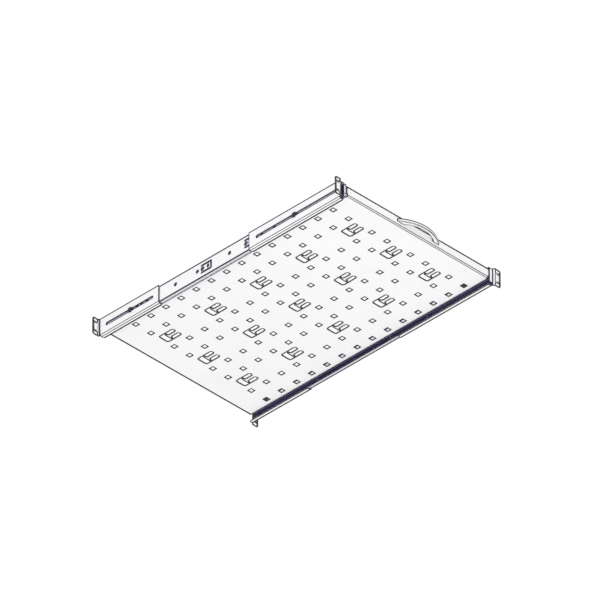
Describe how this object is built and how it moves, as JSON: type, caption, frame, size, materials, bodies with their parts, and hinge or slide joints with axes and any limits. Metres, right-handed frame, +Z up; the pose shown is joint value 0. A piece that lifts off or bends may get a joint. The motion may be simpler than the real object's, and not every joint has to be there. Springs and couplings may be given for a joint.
{
  "type": "sliding rack shelf",
  "caption": "Perforated sheet-metal tray with strap tongues and a bow handle on full-extension ball slides, held by slotted brackets with rack ears.",
  "frame": {"origin": "middle of the front bolt pattern, on the rear (mounting) face of the front ears", "axes": "+X right seen from the front, +Y into the rack, +Z up"},
  "size_m": [0.4826, 0.7307, 0.0444],
  "materials": {
    "tray_paint": "pale grey powder coat, fine texture",
    "bracket_paint": "pale grey powder coat, fine texture",
    "slide_zinc": "bright zinc plate, drawn along its length",
    "cage_steel": "plain cold-rolled steel",
    "ball_steel": "polished",
    "handle_plastic": "moulded, fine spark texture",
    "dark_screw": "black zinc, satin",
    "bumper_rubber": "matt black"
  },
  "bodies": {
    "front_brackets": {"left_front_bracket": "bracket_paint", "right_front_bracket": "bracket_paint"},
    "rails": {"left_slide_outer": "slide_zinc", "right_slide_outer": "slide_zinc", "left_rear_bumper": "bumper_rubber", "right_rear_bumper": "bumper_rubber", "front_clamp_screws": "dark_screw", "rear_clamp_screws": "dark_screw", "clamp_washers": "dark_screw"},
    "rear_brackets": {"left_rear_bracket": "bracket_paint", "right_rear_bracket": "bracket_paint"},
    "shelf": {"tray": "tray_paint", "handle": "handle_plastic", "handle_screws": "dark_screw", "left_tray_screws": "dark_screw", "right_tray_screws": "dark_screw", "left_slide_inner": "slide_zinc", "right_slide_inner": "slide_zinc"},
    "middle_members": {"left_slide_middle": "slide_zinc", "right_slide_middle": "slide_zinc"},
    "outer_cages": {"left_outer_ball_cage": "cage_steel", "right_outer_ball_cage": "cage_steel", "left_outer_balls": "ball_steel", "right_outer_balls": "ball_steel"},
    "inner_cages": {"left_inner_ball_cage": "cage_steel", "right_inner_ball_cage": "cage_steel", "left_inner_balls": "ball_steel", "right_inner_balls": "ball_steel"}
  },
  "joints": [
    {"name": "shelf_setback", "type": "slide", "parent": "front_brackets", "child": "rails", "axis": [0, 1, 0], "range_m": [-0.118, 0.107]},
    {"name": "rear_depth", "type": "slide", "parent": "rails", "child": "rear_brackets", "axis": [0, 1, 0], "range_m": [-0.068, 0.062]},
    {"name": "shelf_slide", "type": "slide", "parent": "rails", "child": "shelf", "axis": [0, -1, 0], "range_m": [0, 0.65]},
    {"name": "middle_slide", "type": "slide", "parent": "rails", "child": "middle_members", "axis": [0, -1, 0], "range_m": [0, 0.325]},
    {"name": "outer_cage_roll", "type": "slide", "parent": "rails", "child": "outer_cages", "axis": [0, -1, 0], "range_m": [0, 0.1625]},
    {"name": "inner_cage_roll", "type": "slide", "parent": "rails", "child": "inner_cages", "axis": [0, -1, 0], "range_m": [0, 0.4875]}
  ],
  "couplings": [
    {"joint": "middle_slide", "follows": "shelf_slide", "ratio": 0.5},
    {"joint": "outer_cage_roll", "follows": "shelf_slide", "ratio": 0.25},
    {"joint": "inner_cage_roll", "follows": "shelf_slide", "ratio": 0.75}
  ]
}
